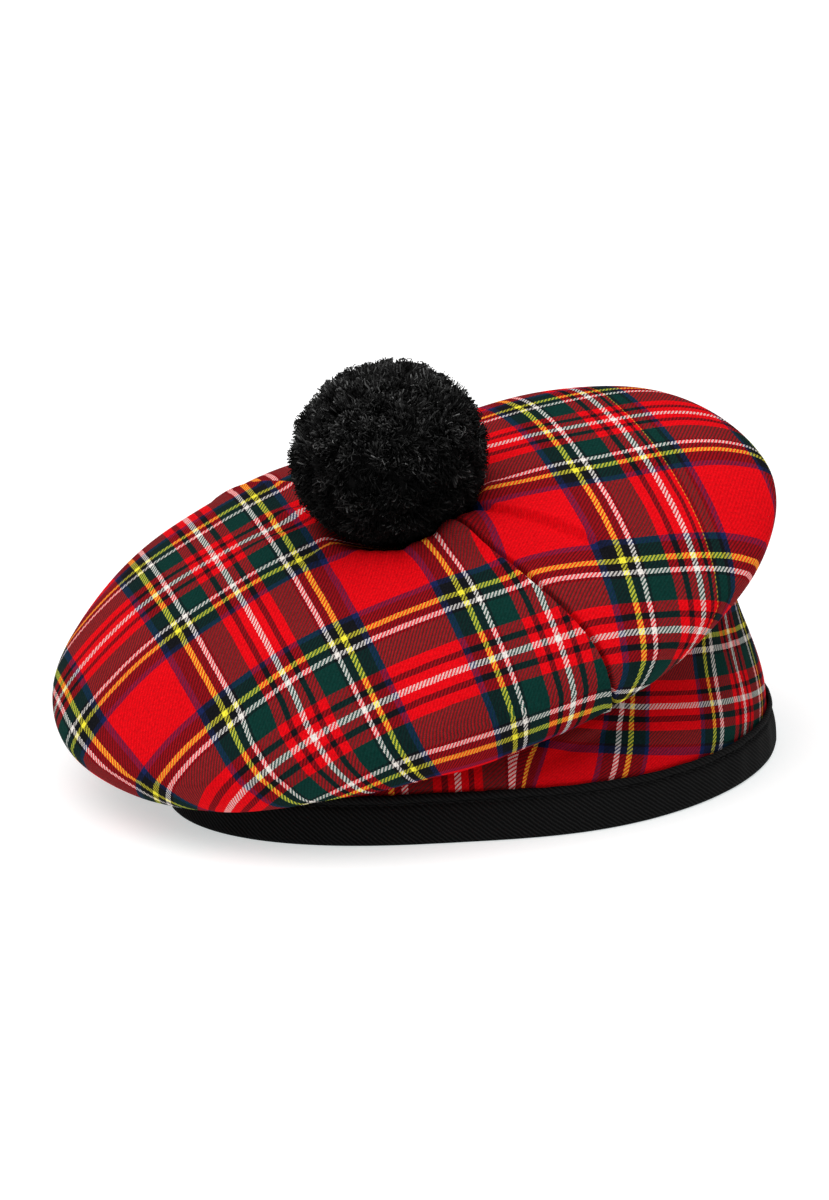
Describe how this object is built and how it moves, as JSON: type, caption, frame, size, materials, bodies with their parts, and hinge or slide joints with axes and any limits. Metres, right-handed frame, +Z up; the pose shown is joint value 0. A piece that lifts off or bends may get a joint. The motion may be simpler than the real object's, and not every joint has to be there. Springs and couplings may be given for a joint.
{
  "type": "balmoral bonnet",
  "caption": "Soft tartan bonnet with a puffed crown drooping to one side, a leaning side band, a black bound edge round the head opening and a black yarn pompom on top.",
  "frame": {"origin": "middle of the bonnet's footprint, on the surface that the bound edge rests on", "axes": "+Z up; +X along the bonnet's width, towards the side where the side band shows; -Y towards the side over which the crown droops"},
  "size_m": [0.237, 0.1896, 0.1392],
  "materials": {
    "tartan_crown_left": "matte wool twill woven in a red tartan",
    "tartan_crown_right": "matte wool twill woven in a red tartan",
    "tartan_side_band": "matte wool twill woven in a red tartan",
    "black_tape": "matte cotton twill tape",
    "black_yarn": "cut wool yarn, very matte"
  },
  "bodies": {
    "root": {"crown_left": "tartan_crown_left", "crown_right": "tartan_crown_right", "side_band": "tartan_side_band", "binding": "black_tape", "pompom": "black_yarn"}
  },
  "joints": []
}
